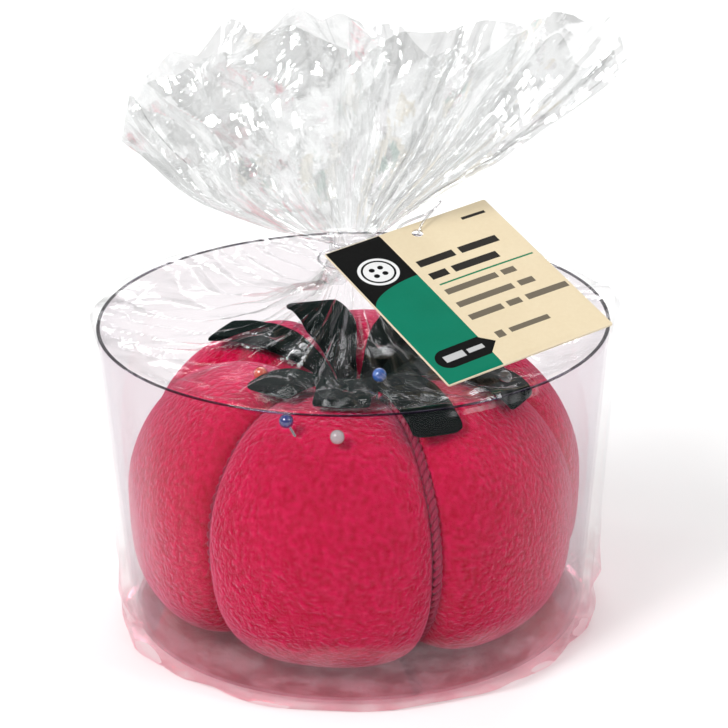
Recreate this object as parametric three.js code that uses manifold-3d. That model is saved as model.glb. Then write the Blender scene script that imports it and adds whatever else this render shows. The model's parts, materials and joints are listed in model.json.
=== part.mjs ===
// Tomato pin cushion in its shop packing: a stuffed velvet cushion with six lobes drawn in by
// satin cords, a felt crown, five ball-headed pins, a clear tub, a gathered film bag and a hang tag.
// Millimetres, +Z up. The origin is on the floor under the middle of the tub; the front is towards -Y.
import * as THREE from 'three';
import { mergeVertices } from 'three/addons/utils/BufferGeometryUtils.js';
import Module from 'manifold-3d';

const wasm = await Module();
wasm.setup();

// Clearances and wall thicknesses
const GAP = 0.3;
const FILM = 0.4;
const TUB_WALL = 0.8;

// Tub
const TUB_BASE_Z = FILM + GAP;
const TUB_TOP_Z = 85;
const TUB_TOP_R = 69;
const TUB_BASE_R = 62.4;
const TUB_CORNER_R = 3;
const TUB_SEGMENTS = 40;

// Cushion: profiles are (distance from the axis, height) from the top dimple to the bottom dimple
const LOBES = 6;
const FIRST_LOBE_AZ = -10;
const LOBE_SPREAD = 360 / LOBES;
const RIDGE = [[5, 60], [15, 69.5], [29, 74], [44, 70.5], [55, 59.5], [61.5, 46], [62.3, 33],
  [58.5, 18.5], [49, 7], [36, 2.4], [20, 2.8], [5, 7]];
const GROOVE = [[5, 57], [14, 62], [27, 66.5], [39.5, 63.6], [47.5, 56.5], [52.8, 47.5], [54.6, 36],
  [52, 25], [44.5, 14.5], [33.5, 8], [19, 6.4], [5, 9]];
const VELVET = 1.5;
const GORE_COLUMNS = 8;
const GORE_ROWS = 13;
const FILL_COLUMNS = 36;
const FILL_ROWS = 12;
const FILL_RIDGE_INSET = VELVET + 0.7;
const FILL_GROOVE_INSET = VELVET + 3.4;
const FILL_END_INSET = 2.2;
const CHANNEL_R = 1.6;

// Groove cords and the tie through the middle
const CORD_R = 1;
const CORD_LIFT = 3.1;
const CORD_STEP = 5;
const CORD_START = 0.07;
const CORD_END = 0.93;
const TIE_BUTTON_R = 4;
const TIE_R = 1;

// Felt crown: azimuth of each leaf and the distance its square end reaches
const LEAVES = [[-115, 41], [-38, 37], [-5, 39], [26, 49], [63, 50], [104, 42], [146, 40], [-163, 41]];
const LEAF_WIDTH = 12;
const LEAF_THICK = 2.2;
const LEAF_ROOT_R = 6;
const LEAF_TAPER = 0.53;
const LEAF_REST = 0.45;
const LEAF_ROWS = 9;

// Pins: entry point on the cushion, direction that the head points, and how far the head stands off
const PIN_R = 0.3;
const PIN_HEAD_R = 1.9;
const PIN_DEPTH = 26;
const PINS = {
  blue: { entry: [-15.2, -43.4, 68.4], out: [-0.38, -0.3, 0.875], stand: 6 },
  pearl: { entry: [-4.2, -47.1, 68.9], out: [-0.1, -0.75, 0.65], stand: 2.9 },
  orange: { entry: [-24.2, -17.2, 73], out: [-0.15, -0.25, 0.95], stand: 2.9 },
  sky: { entry: [6.4, -26.9, 76.6], out: [0.1, -0.25, 0.96], stand: 2.3 },
  black: { entry: [38.9, -23.6, 74], out: [0.25, -0.15, 0.95], stand: 2.3 },
};
const PIN_SIDES = 8;

// Film bag
const BAG_SEGMENTS = 48;
const NECK_CENTRE_Y = 8;
const NECK_R = 6.6;
const NECK_Z = 100;
const FLAP_AZ = 96;
const FLAP_PROUD = 2.6;
const FLAP_WIDTH = 9;
const PLEATS = 12;
const RUFFLE_ROWS = 6;
const RUFFLE_START_Z = 104;
const RUFFLE_DEPTH = 17;

// Hang tag: a card that leans on the shoulder of the bag, hung by a loop round the neck
const TAG_WIDTH = 51;
const TAG_HEIGHT = 60;
const TAG_THICK = 0.5;
const TAG_HOLE_R = 1.6;
const TAG_HOLE_ACROSS = 26.5;
const TAG_HOLE_DOWN = 4.4;
const TAG_CENTRE = new THREE.Vector3(29.9, -17.6, 98.6);
const TAG_RIGHT = new THREE.Vector3(0.8526, 0.5092, 0.1171).normalize();
const TAG_FACE = new THREE.Vector3(0.0626, -0.3221, 0.9447).normalize();
const LOOP_R = 0.4;
const LOCK_SIZE = [3, 2.2, 2.4];

const root = new THREE.Group();

const rad = (degrees) => (degrees * Math.PI) / 180;
const lerp = THREE.MathUtils.lerp;

// Azimuth 0 points to the front (-Y) and grows towards +X
const polar = (r, azimuth, z) =>
  new THREE.Vector3(r * Math.sin(rad(azimuth)), -r * Math.cos(rad(azimuth)), z);

function curveThrough(points) {
  return new THREE.CatmullRomCurve3(points.map(([r, z]) => new THREE.Vector3(r, z, 0)));
}

// A curve moved towards its left by a distance: the inside of a profile drawn from top to bottom
function insetPoint(curve, t, distance) {
  const point = curve.getPoint(t);
  const tangent = curve.getTangent(t);
  return new THREE.Vector2(point.x + tangent.y * distance, point.y - tangent.x * distance);
}

const ridgeCurve = curveThrough(RIDGE);
const grooveCurve = curveThrough(GROOVE);

// Point of the cushion: fullness is 1 on a lobe's ridge and 0 in a groove
function profilePoint(t, fullness, ridgeInset = 0, grooveInset = 0) {
  const ridge = insetPoint(ridgeCurve, t, ridgeInset);
  const groove = insetPoint(grooveCurve, t, grooveInset);
  return groove.lerp(ridge, fullness);
}

function geometryFrom(points, faces) {
  const geometry = new THREE.BufferGeometry();
  geometry.setAttribute('position', new THREE.Float32BufferAttribute(points.flatMap((p) => p.toArray()), 3));
  geometry.setIndex(faces);
  return geometry;
}

function quad(faces, a, b, c, d) {
  faces.push(a, b, c, a, c, d);
}

// A closed slab between two grids of the same size: outer[row][column] and inner[row][column]
function slab(outer, inner) {
  const rows = outer.length;
  const columns = outer[0].length;
  const points = [...outer.flat(), ...inner.flat()];
  const out = (i, j) => i * columns + j;
  const inn = (i, j) => rows * columns + out(i, j);
  const faces = [];
  for (let i = 0; i < rows - 1; i += 1) {
    for (let j = 0; j < columns - 1; j += 1) {
      quad(faces, out(i, j), out(i + 1, j), out(i + 1, j + 1), out(i, j + 1));
      quad(faces, inn(i, j), inn(i, j + 1), inn(i + 1, j + 1), inn(i + 1, j));
    }
    quad(faces, out(i, 0), inn(i, 0), inn(i + 1, 0), out(i + 1, 0));
    quad(faces, out(i, columns - 1), out(i + 1, columns - 1), inn(i + 1, columns - 1), inn(i, columns - 1));
  }
  for (let j = 0; j < columns - 1; j += 1) {
    quad(faces, out(0, j), out(0, j + 1), inn(0, j + 1), inn(0, j));
    quad(faces, out(rows - 1, j), inn(rows - 1, j), inn(rows - 1, j + 1), out(rows - 1, j + 1));
  }
  return geometryFrom(points, faces);
}

// A closed ring of sections, each a loop of points; the last section joins the first
function ringOfLoops(loops) {
  const count = loops[0].length;
  const faces = [];
  loops.forEach((_, i) => {
    const next = (i + 1) % loops.length;
    for (let j = 0; j < count; j += 1) {
      const k = (j + 1) % count;
      quad(faces, i * count + j, next * count + j, next * count + k, i * count + k);
    }
  });
  return geometryFrom(loops.flat(), faces);
}

function toManifold(geometry) {
  const bare = geometry.clone();
  bare.deleteAttribute('normal');
  bare.deleteAttribute('uv');
  const merged = mergeVertices(bare, 1e-4);
  return new wasm.Manifold(new wasm.Mesh({
    numProp: 3,
    vertProperties: new Float32Array(merged.attributes.position.array),
    triVerts: new Uint32Array(merged.index.array),
  }));
}

function fromManifold(solid) {
  const mesh = solid.getMesh();
  const geometry = new THREE.BufferGeometry();
  geometry.setAttribute('position', new THREE.BufferAttribute(mesh.vertProperties, 3));
  geometry.setIndex(new THREE.BufferAttribute(mesh.triVerts, 1));
  return geometry;
}

function addPart(name, geometry, finish, parent = root) {
  const material = new THREE.MeshStandardMaterial(finish);
  const mesh = new THREE.Mesh(geometry, material);
  mesh.name = name;
  parent.add(mesh);
  return mesh;
}

function tubeAlong(curve, radius, steps, sides) {
  const section = new THREE.Shape();
  for (let i = 0; i < sides; i += 1) {
    const angle = (2 * Math.PI * i) / sides;
    const [x, y] = [radius * Math.cos(angle), radius * Math.sin(angle)];
    if (i === 0) section.moveTo(x, y);
    else section.lineTo(x, y);
  }
  section.closePath();
  return new THREE.ExtrudeGeometry(section, { steps, bevelEnabled: false, extrudePath: curve });
}

const VELVET_FINISH = { color: 0xc8143c, roughness: 0.95, metalness: 0 };
const FIBRE_FINISH = { color: 0xd8c39a, roughness: 1, metalness: 0 };
const CORD_FINISH = { color: 0xb01045, roughness: 0.6, metalness: 0 };
const FELT_FINISH = { color: 0x04211c, roughness: 0.95, metalness: 0 };
const STEEL_FINISH = { color: 0xc8ccd0, roughness: 0.3, metalness: 1 };
const CLEAR_FINISH = { color: 0xdcd6e0, roughness: 0.1, metalness: 0, transparent: true, opacity: 0.25 };
const FILM_FINISH = { color: 0xeef0f2, roughness: 0.08, metalness: 0, transparent: true, opacity: 0.25 };
const CARD_FINISH = { color: 0xead9b8, roughness: 0.6, metalness: 0 };
const HEAD_COLOURS = { blue: 0x0a2aa0, pearl: 0xf0e6e2, orange: 0xd83a08, sky: 0x1288d8, black: 0x101014 };

// Pins are solids along one axis, so their holes and their slides share it
function pinAxis(pin) {
  const direction = new THREE.Vector3(...pin.out).normalize();
  const entry = new THREE.Vector3(...pin.entry);
  const head = entry.clone().addScaledVector(direction, pin.stand);
  return { direction, entry, head };
}

function rodBetween(start, end, radius) {
  const along = end.clone().sub(start);
  const rod = new THREE.CylinderGeometry(radius, radius, along.length(), PIN_SIDES);
  rod.applyQuaternion(new THREE.Quaternion().setFromUnitVectors(new THREE.Vector3(0, 1, 0), along.normalize()));
  rod.translate(...start.clone().add(end).multiplyScalar(0.5).toArray());
  return rod;
}

function pinHoles() {
  return Object.values(PINS).map((pin) => {
    const { direction, head } = pinAxis(pin);
    const tip = head.clone().addScaledVector(direction, -(PIN_DEPTH + pin.stand + 2 * GAP));
    return toManifold(rodBetween(tip, head, PIN_R + GAP));
  });
}

const holes = pinHoles();

function withPinHoles(geometry) {
  const solid = holes.reduce((cut, hole) => cut.subtract(hole), toManifold(geometry));
  return fromManifold(solid);
}

// One velvet gore covers one lobe. It is moved out a little so that it clears both neighbours.
function goreGrid(azimuth, inset) {
  const clear = GAP / 2 / Math.sin(rad(LOBE_SPREAD / 2));
  const grid = [];
  for (let i = 0; i <= GORE_ROWS; i += 1) {
    const row = [];
    for (let j = 0; j <= GORE_COLUMNS; j += 1) {
      const sweep = Math.PI * (j / GORE_COLUMNS - 0.5);
      const side = rad(LOBE_SPREAD / 2) * Math.sin(sweep);
      const fullness = Math.cos(sweep);
      const place = profilePoint(i / GORE_ROWS, fullness, inset, inset);
      const along = place.x * Math.cos(side) + clear;
      const narrow = 1 - (inset / (place.x * Math.sin(rad(LOBE_SPREAD / 2)))) * (1 - fullness);
      const across = place.x * Math.sin(side) * narrow;
      const turn = rad(azimuth);
      row.push(new THREE.Vector3(
        along * Math.sin(turn) + across * Math.cos(turn),
        -along * Math.cos(turn) + across * Math.sin(turn),
        place.y,
      ));
    }
    grid.push(row);
  }
  return grid;
}

function addGores() {
  for (let lobe = 0; lobe < LOBES; lobe += 1) {
    const azimuth = FIRST_LOBE_AZ + lobe * LOBE_SPREAD;
    const geometry = slab(goreGrid(azimuth, 0), goreGrid(azimuth, VELVET));
    addPart(`velvet_gore_${lobe + 1}`, withPinHoles(geometry), VELVET_FINISH);
  }
}

// The stuffing is one lobed mass with a narrow channel for the tie
function addFill() {
  const loops = [];
  for (let j = 0; j < FILL_COLUMNS; j += 1) {
    const azimuth = FIRST_LOBE_AZ + (360 * j) / FILL_COLUMNS;
    const side = ((azimuth - FIRST_LOBE_AZ + LOBE_SPREAD / 2) % LOBE_SPREAD) - LOBE_SPREAD / 2;
    const fullness = Math.sqrt(1 - (side / (LOBE_SPREAD / 2)) ** 2);
    const loop = [];
    for (let i = 0; i <= FILL_ROWS; i += 1) {
      const extra = FILL_END_INSET * Math.abs((2 * i) / FILL_ROWS - 1) ** 6;
      const [onRidge, inGroove] = [FILL_RIDGE_INSET + extra, FILL_GROOVE_INSET + extra];
      const place = profilePoint(i / FILL_ROWS, fullness, onRidge, inGroove);
      loop.push(polar(Math.max(place.x, CHANNEL_R + 1), azimuth, place.y));
    }
    loop.push(polar(CHANNEL_R, azimuth, loop[FILL_ROWS].z));
    loop.push(polar(CHANNEL_R, azimuth, loop[0].z));
    loops.push(loop.reverse());
  }
  addPart('cushion_fill', withPinHoles(ringOfLoops(loops)), FIBRE_FINISH);
}

// A cord lies in each groove from the crown to the bottom
function addGrooveCords() {
  for (let lobe = 0; lobe < LOBES; lobe += 1) {
    const azimuth = FIRST_LOBE_AZ + (lobe + 0.5) * LOBE_SPREAD;
    const count = 16;
    const points = [];
    for (let i = 0; i <= count; i += 1) {
      const t = lerp(CORD_START, CORD_END, i / count);
      const place = insetPoint(grooveCurve, t, -CORD_LIFT);
      points.push(polar(place.x, azimuth, place.y));
    }
    const route = new THREE.CatmullRomCurve3(points);
    const steps = Math.round(route.getLength() / CORD_STEP);
    addPart(`groove_cord_${lobe + 1}`, tubeAlong(route, CORD_R, steps, 8), CORD_FINISH);
  }
}

// The tie pulls the top and bottom dimples together: a thread with a flat knot at each end
function addTie() {
  const profile = [[0, 4], [TIE_BUTTON_R, 4], [TIE_BUTTON_R, 5.4], [TIE_R, 6.6],
    [TIE_R, 60.6], [TIE_BUTTON_R, 61.4], [TIE_BUTTON_R, 63.4], [2.4, 65], [0, 65]];
  const outline = profile.map(([r, z]) => new THREE.Vector2(r, z));
  const geometry = new THREE.LatheGeometry(outline, 16);
  geometry.rotateX(Math.PI / 2);
  addPart('centre_tie', geometry, CORD_FINISH);
}

// Height of the top of the cushion over a point, 0 outside it
function cushionTop(x, y) {
  const r = Math.hypot(x, y);
  const azimuth = THREE.MathUtils.radToDeg(Math.atan2(x, -y));
  const turned = THREE.MathUtils.euclideanModulo(azimuth - FIRST_LOBE_AZ + LOBE_SPREAD / 2, LOBE_SPREAD);
  const side = turned - LOBE_SPREAD / 2;
  const fullness = Math.sqrt(Math.max(0, 1 - (side / (LOBE_SPREAD / 2)) ** 2));
  let [low, high] = [0, 0.5];
  for (let i = 0; i < 24; i += 1) {
    const middle = (low + high) / 2;
    if (profilePoint(middle, fullness).x < r) low = middle;
    else high = middle;
  }
  return profilePoint(low, fullness).y;
}

// A leaf rests on the highest ground across its width and stays clear of the cords below it
function leafGrids(azimuth, reach) {
  const upper = [];
  const lower = [];
  const turn = rad(azimuth);
  for (let i = 0; i <= LEAF_ROWS; i += 1) {
    const r = lerp(LEAF_ROOT_R, reach, i / LEAF_ROWS);
    const half = Math.min(LEAF_WIDTH, LEAF_TAPER * r - 0.4) / 2;
    const place = (across, z) => new THREE.Vector3(
      r * Math.sin(turn) + across * Math.cos(turn),
      -r * Math.cos(turn) + across * Math.sin(turn),
      z,
    );
    const samples = [-1, -0.75, -0.5, -0.25, 0, 0.25, 0.5, 0.75, 1];
    const span = (reach - LEAF_ROOT_R) / LEAF_ROWS / 2;
    const ground = Math.max(...samples.flatMap((s) => [-span, 0, span].map((step) => {
      const radius = r + step;
      const x = radius * Math.sin(turn) + s * half * Math.cos(turn);
      const y = -radius * Math.cos(turn) + s * half * Math.sin(turn);
      return cushionTop(x, y);
    })));
    const base = ground + LEAF_REST;
    const offsets = [-half, 0, half];
    lower.push(offsets.map((across) => place(across, base)));
    upper.push(offsets.map((across) => place(across, base + LEAF_THICK)));
  }
  return [upper, lower];
}

function addLeaves() {
  LEAVES.forEach(([azimuth, reach], i) => {
    const [upper, lower] = leafGrids(azimuth, reach);
    addPart(`crown_leaf_${i + 1}`, withPinHoles(slab(upper, lower)), FELT_FINISH);
  });
}

function addPins() {
  Object.entries(PINS).forEach(([name, pin]) => {
    const { direction, head } = pinAxis(pin);
    const tip = head.clone().addScaledVector(direction, -(PIN_DEPTH + pin.stand));
    const top = head.clone().addScaledVector(direction, -(PIN_HEAD_R + GAP / 2));
    addPart(`${name}_pin_shaft`, rodBetween(tip, top, PIN_R), STEEL_FINISH);
    const ball = new THREE.SphereGeometry(PIN_HEAD_R, 10, 8);
    ball.translate(...head.toArray());
    addPart(`${name}_pin_head`, ball, { color: HEAD_COLOURS[name], roughness: 0.2, metalness: 0 });
  });
}

// The tub is one moulding: a tapered wall, a small corner radius and a flat floor
function addTub() {
  const outline = [];
  const wallAt = (z) => lerp(TUB_BASE_R, TUB_TOP_R, (z - TUB_BASE_Z) / (TUB_TOP_Z - TUB_BASE_Z));
  const corner = (inset) => {
    const r = TUB_CORNER_R - inset;
    const centreX = TUB_BASE_R - TUB_CORNER_R;
    const centreZ = TUB_BASE_Z + TUB_CORNER_R;
    return [0, 30, 60, 90].map((a) => new THREE.Vector2(
      centreX + r * Math.sin(rad(a)), centreZ - r * Math.cos(rad(a)),
    ));
  };
  outline.push(new THREE.Vector2(0, TUB_BASE_Z), ...corner(0));
  outline.push(new THREE.Vector2(wallAt(TUB_TOP_Z), TUB_TOP_Z));
  outline.push(new THREE.Vector2(wallAt(TUB_TOP_Z) - TUB_WALL, TUB_TOP_Z));
  outline.push(...corner(TUB_WALL).reverse(), new THREE.Vector2(0, TUB_BASE_Z + TUB_WALL));
  const geometry = new THREE.LatheGeometry(outline, TUB_SEGMENTS);
  geometry.rotateX(Math.PI / 2);
  addPart('clear_tub', geometry, CLEAR_FINISH);
}

// Mouth of the ruffle: height of its edge against azimuth, front half then back half
const MOUTH_EDGE = [[-180, 150], [-150, 160], [-120, 146], [-90, 134], [-62, 147], [-35, 159], [-8, 170],
  [8, 161], [24, 156], [40, 166], [66, 163], [90, 151], [120, 149], [150, 160], [180, 150]];
const MOUTH_HALF_WIDTH = 67;
const MOUTH_CENTRE_X = 5.5;

function mouthHeight(azimuth) {
  const next = MOUTH_EDGE.findIndex(([a]) => a >= azimuth);
  if (next <= 0) return MOUTH_EDGE[0][1];
  const [[a0, z0], [a1, z1]] = [MOUTH_EDGE[next - 1], MOUTH_EDGE[next]];
  return lerp(z0, z1, (azimuth - a0) / (a1 - a0));
}

// Body of the bag as (radius, height, how far the section has moved towards the neck)
const BAG_BODY = [[61.5, 0, 0], [63.6, 2, 0], [65.4, 20, 0], [67.4, 48, 0], [69.6, 78, 0], [70.1, 85.2, 0],
  [69.2, 86.1, 0], [65, 85.8, 0.02], [54, 85.2, 0.1], [40, 85, 0.3], [26, 86.6, 0.6], [15, 90, 0.9],
  [9.5, 95, 1], [NECK_R, NECK_Z, 1]];
const BAG_RIM_ROW = 6;

const foldAt = (azimuth) => (2 / Math.PI) * Math.asin(Math.sin(rad(azimuth * PLEATS)));

function bagLoops() {
  const rings = BAG_BODY.map(([r, z, drift], row) => (azimuth) => {
    const onWall = row > 0 && row < BAG_RIM_ROW;
    const flap = onWall ? FLAP_PROUD * Math.exp(-(((azimuth - FLAP_AZ) / FLAP_WIDTH) ** 2)) : 0;
    return polar(r + flap, azimuth, z).add(new THREE.Vector3(0, drift * NECK_CENTRE_Y, 0));
  });
  for (let i = 0; i <= RUFFLE_ROWS; i += 1) {
    const v = i / RUFFLE_ROWS;
    rings.push((azimuth) => {
      const toRight = (1 + Math.sin(rad(azimuth))) / 2;
      const spread = v ** lerp(0.62, 0.9, toRight);
      const fold = 1 + 0.05 * v * foldAt(azimuth);
      const across = lerp(NECK_R, MOUTH_HALF_WIDTH * fold, spread) * Math.sin(rad(azimuth));
      const deep = lerp(NECK_R, RUFFLE_DEPTH * fold, v) * Math.cos(rad(azimuth));
      const height = lerp(RUFFLE_START_Z, mouthHeight(azimuth), v ** lerp(1.35, 1, toRight));
      return new THREE.Vector3(
        across + MOUTH_CENTRE_X * spread,
        NECK_CENTRE_Y - deep - 1.5 * v * foldAt(azimuth),
        height,
      );
    });
  }
  return rings.map((ring) => {
    const loop = [];
    for (let j = 0; j < BAG_SEGMENTS; j += 1) loop.push(ring(-180 + (360 * (j + 0.5)) / BAG_SEGMENTS));
    return loop;
  });
}

// The film's inner face follows its outer face one wall thickness in
function innerLoops(loops) {
  const count = BAG_SEGMENTS;
  return loops.map((loop, i) => loop.map((point, j) => {
    const across = loop[(j + 1) % count].clone().sub(loop[(j + count - 1) % count]);
    const before = loops[Math.max(0, i - 1)][j];
    const after = loops[Math.min(loops.length - 1, i + 1)][j];
    const along = i === 0 ? after.clone().sub(new THREE.Vector3(0, 0, 0)) : after.clone().sub(before);
    const outward = new THREE.Vector3().crossVectors(across, along).normalize();
    if (i === 0) outward.set(0, 0, -1);
    return point.clone().addScaledVector(outward, -FILM);
  }));
}

// A closed shell from rings of points on its outer face and the matching rings on its inner face
function addShell(name, outer, inner, hasFloor) {
  const rings = [...outer, ...inner.toReversed()];
  const points = rings.flat();
  const faces = [];
  const count = BAG_SEGMENTS;
  const strip = (from, to) => {
    for (let j = 0; j < count; j += 1) {
      const k = (j + 1) % count;
      quad(faces, from * count + j, from * count + k, to * count + k, to * count + j);
    }
  };
  const last = rings.length - 1;
  for (let i = 0; i < last; i += 1) strip(i, i + 1);
  if (hasFloor) {
    const underside = points.push(new THREE.Vector3(0, 0, 0)) - 1;
    const inside = points.push(new THREE.Vector3(0, 0, FILM)) - 1;
    for (let j = 0; j < count; j += 1) {
      const k = (j + 1) % count;
      faces.push(underside, k, j, inside, last * count + j, last * count + k);
    }
  } else {
    strip(last, 0);
  }
  addPart(name, geometryFrom(points, faces), FILM_FINISH);
}

// The bag is one sheet on the real thing; here its body and its ruffle meet at the neck
function addBag() {
  const outer = bagLoops();
  const inner = innerLoops(outer);
  const neck = BAG_BODY.length;
  addShell('film_bag', outer.slice(0, neck), inner.slice(0, neck), true);
  addShell('bag_ruffle', outer.slice(neck - 1), inner.slice(neck - 1), false);
}

// The tag's own frame: x to its right, y up the card, z out of its printed face
const tagUp = new THREE.Vector3().crossVectors(TAG_FACE, TAG_RIGHT).normalize();

function tagPoint(across, down, out) {
  return TAG_CENTRE.clone()
    .addScaledVector(TAG_RIGHT, across - TAG_WIDTH / 2)
    .addScaledVector(tagUp, TAG_HEIGHT / 2 - down)
    .addScaledVector(TAG_FACE, out);
}

function addTag() {
  const card = new THREE.Shape();
  card.moveTo(-TAG_WIDTH / 2, -TAG_HEIGHT / 2);
  card.lineTo(TAG_WIDTH / 2, -TAG_HEIGHT / 2);
  card.lineTo(TAG_WIDTH / 2, TAG_HEIGHT / 2);
  card.lineTo(-TAG_WIDTH / 2, TAG_HEIGHT / 2);
  const hole = new THREE.Path();
  hole.absarc(TAG_HOLE_ACROSS - TAG_WIDTH / 2, TAG_HEIGHT / 2 - TAG_HOLE_DOWN, TAG_HOLE_R, 0, 2 * Math.PI);
  card.holes.push(hole);
  const geometry = new THREE.ExtrudeGeometry(card, { depth: TAG_THICK, bevelEnabled: false, curveSegments: 10 });
  geometry.translate(0, 0, -TAG_THICK / 2);
  const mesh = addPart('hang_tag', geometry, CARD_FINISH);
  mesh.quaternion.setFromRotationMatrix(new THREE.Matrix4().makeBasis(TAG_RIGHT, tagUp, TAG_FACE));
  mesh.position.copy(TAG_CENTRE);
}

// The loop leaves the lock behind the neck, goes round it, up through the hole and back over the card
const LOOP_RADIUS = 9.2;
const LOOP_Z = 98.6;

function loopRoute() {
  const aroundNeck = (azimuth, z, r = LOOP_RADIUS) =>
    polar(r, azimuth, z).add(new THREE.Vector3(0, NECK_CENTRE_Y, 0));
  return [
    aroundNeck(170, LOOP_Z), aroundNeck(205, LOOP_Z), aroundNeck(240, LOOP_Z), aroundNeck(275, LOOP_Z),
    aroundNeck(310, LOOP_Z), aroundNeck(345, LOOP_Z), aroundNeck(20, LOOP_Z, 10),
    tagPoint(TAG_HOLE_ACROSS - 2, TAG_HOLE_DOWN + 0.8, -6),
    tagPoint(TAG_HOLE_ACROSS - 0.4, TAG_HOLE_DOWN, -2.5),
    tagPoint(TAG_HOLE_ACROSS + 0.2, TAG_HOLE_DOWN, 0),
    tagPoint(TAG_HOLE_ACROSS + 2.5, TAG_HOLE_DOWN - 1.5, 2.2),
    tagPoint(TAG_HOLE_ACROSS + 8, 0.2, 3.2),
    tagPoint(TAG_HOLE_ACROSS + 12, -3, 1.8),
    tagPoint(TAG_HOLE_ACROSS + 10, -5, -2.5),
    tagPoint(TAG_HOLE_ACROSS + 2, -7, -6),
    aroundNeck(95, LOOP_Z + 1, 11), aroundNeck(130, LOOP_Z, 9.6), aroundNeck(163, LOOP_Z),
  ];
}

function addLoop() {
  const route = new THREE.CatmullRomCurve3(loopRoute());
  const steps = Math.round(route.getLength() / (6 * LOOP_R));
  const strand = toManifold(tubeAlong(route, LOOP_R, steps, 8));
  const lock = new THREE.BoxGeometry(...LOCK_SIZE);
  lock.rotateZ(rad(166 - 180));
  lock.translate(...polar(LOOP_RADIUS + 0.2, 166.5, LOOP_Z).toArray());
  lock.translate(0, NECK_CENTRE_Y, 0);
  addPart('tag_loop', fromManifold(strand.add(toManifold(lock))), FILM_FINISH);
}

addGores();
addFill();
addGrooveCords();
addTie();
addLeaves();
addPins();
addTub();
addBag();
addTag();
addLoop();

export default root;
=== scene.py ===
# %% [markdown]
# # A packed tomato pin cushion
# The object is a velvet cushion with six lobes, standing in a clear tub, inside a gathered film bag with
# a hang tag. The solid model is loaded first. It fixes every size and place, and each piece made below
# is fitted to it. Lengths are in metres, +Z is up and the front faces -Y.

# %% Load the solid model
import json
import math

import bpy
import numpy as np
from mathutils import Matrix, Vector, geometry


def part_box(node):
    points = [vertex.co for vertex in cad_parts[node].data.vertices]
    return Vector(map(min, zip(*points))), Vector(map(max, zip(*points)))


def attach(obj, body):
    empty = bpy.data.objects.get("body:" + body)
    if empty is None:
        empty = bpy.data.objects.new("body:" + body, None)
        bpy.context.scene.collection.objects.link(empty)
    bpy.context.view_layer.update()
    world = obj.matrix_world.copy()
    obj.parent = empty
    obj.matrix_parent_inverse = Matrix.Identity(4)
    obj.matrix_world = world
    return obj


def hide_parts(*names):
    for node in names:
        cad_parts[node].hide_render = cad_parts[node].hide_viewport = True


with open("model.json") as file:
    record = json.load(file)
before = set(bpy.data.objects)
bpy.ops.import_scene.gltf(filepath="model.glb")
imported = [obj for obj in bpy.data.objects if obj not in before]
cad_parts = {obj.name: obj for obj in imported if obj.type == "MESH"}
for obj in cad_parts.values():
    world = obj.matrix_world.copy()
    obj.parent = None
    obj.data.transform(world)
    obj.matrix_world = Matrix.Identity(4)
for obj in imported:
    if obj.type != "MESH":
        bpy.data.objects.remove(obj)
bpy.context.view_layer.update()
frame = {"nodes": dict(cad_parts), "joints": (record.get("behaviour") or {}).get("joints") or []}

MM = 0.001


def add_object(name, data):
    made = bpy.data.objects.new(name, data)
    bpy.context.scene.collection.objects.link(made)
    return made

# %% [markdown]
# ## Camera
# The camera stands in front and a little above, as a shopper would see the pack on a shelf. A long lens
# keeps the tub's sides nearly parallel. It is made first, so that everything can be judged from it.

# %% Camera
CAMERA_PLACE = Vector((0, -0.7, 0.3519))
YAW, PITCH, ROLL = (math.radians(a) for a in (0.225, 21.87, -0.733))
forward = Vector((math.sin(YAW) * math.cos(PITCH), math.cos(YAW) * math.cos(PITCH), -math.sin(PITCH)))
level_right = Vector((math.cos(YAW), -math.sin(YAW), 0))
level_up = level_right.cross(forward)
right = level_right * math.cos(ROLL) + level_up * math.sin(ROLL)
up = right.cross(forward)

camera_data = bpy.data.cameras.new("camera")
camera_data.sensor_width = 36
camera_data.lens = 137.7
camera = add_object("camera", camera_data)
turn = Matrix((right, up, -forward)).transposed().to_4x4()
camera.matrix_world = Matrix.Translation(CAMERA_PLACE) @ turn
bpy.context.scene.camera = camera

# %% [markdown]
# ## Helpers for meshes
# Nearly every piece here is a grid of points: rows one way, columns the other. One helper turns such a
# grid into faces, and another turns points and faces into a piece that rides on its body.

# %% Grids and pieces
def soften(piece):
    smooth = piece.modifiers.new("smooth", "SUBSURF")
    smooth.levels = smooth.render_levels = 1


def grid_faces(rows, columns, wrap=False, start=0):
    row = np.arange(rows - 1)[:, None] * columns
    column = np.arange(columns if wrap else columns - 1)[None, :]
    after = (column + 1) % columns
    corners = (row + column, row + after, row + columns + after, row + columns + column)
    return (np.stack(corners, -1).reshape(-1, 4) + start).tolist()


def make_piece(name, points, faces, finish, body, replaces, smooth=True):
    mesh = bpy.data.meshes.new(name)
    mesh.from_pydata(np.asarray(points, float).tolist(), [], faces)
    mesh.polygons.foreach_set("use_smooth", [smooth] * len(mesh.polygons))
    piece = add_object(name, mesh)
    piece.data.materials.append(finish)
    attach(piece, body)
    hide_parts(*replaces)
    return piece


def closed_grid(grid):
    """Points and faces of a solid whose skin is a grid wrapped along its columns, with its ends filled."""
    rows, columns = grid.shape[:2]
    faces = grid_faces(rows, columns, wrap=True)
    faces.append(list(range(columns))[::-1])
    faces.append([(rows - 1) * columns + j for j in range(columns)])
    return grid.reshape(-1, 3), faces


def unit(v):
    return v / np.maximum(np.linalg.norm(v, axis=-1, keepdims=True), 1e-12)


def all_round(count):
    return np.linspace(0, 2 * np.pi, count, endpoint=False)


def rounded_box(sides, *powers):
    """Points round a square with soft corners, which are sharper the smaller the powers are."""
    waves = np.cos(all_round(sides)), np.sin(all_round(sides))
    return np.stack([np.sign(wave) * np.abs(wave) ** power for wave, power in zip(waves, powers)], -1)


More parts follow.
